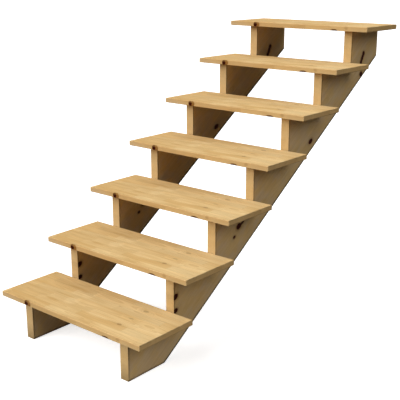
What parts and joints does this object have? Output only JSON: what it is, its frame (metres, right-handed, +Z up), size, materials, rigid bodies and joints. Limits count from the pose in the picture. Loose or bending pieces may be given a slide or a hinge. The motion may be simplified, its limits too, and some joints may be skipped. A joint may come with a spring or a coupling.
{
  "type": "outdoor wooden staircase",
  "caption": "Open-riser outdoor timber staircase: overhanging plank treads laid on sawtooth-cut stringers with level feet and upright rear cuts that bear on a wall or deck edge.",
  "frame": {"origin": "middle of the left stringer's upright rear face, where it bears on the wall", "axes": "+X along the treads to the right as one climbs, +Y level in the direction of the climb and out of the rear face, +Z up"},
  "size_m": [0.8, 1.83, 1.2265],
  "materials": {
    "tread_wood": "planed edge-glued softwood, untreated, with knots",
    "stringer_wood": "planed softwood plank with sawn notches, untreated, with knots"
  },
  "bodies": {
    "root": {"left_stringer": "stringer_wood", "right_stringer": "stringer_wood", "tread_1": "tread_wood", "tread_2": "tread_wood", "tread_3": "tread_wood", "tread_4": "tread_wood", "tread_5": "tread_wood", "tread_6": "tread_wood", "tread_7": "tread_wood"}
  },
  "joints": []
}
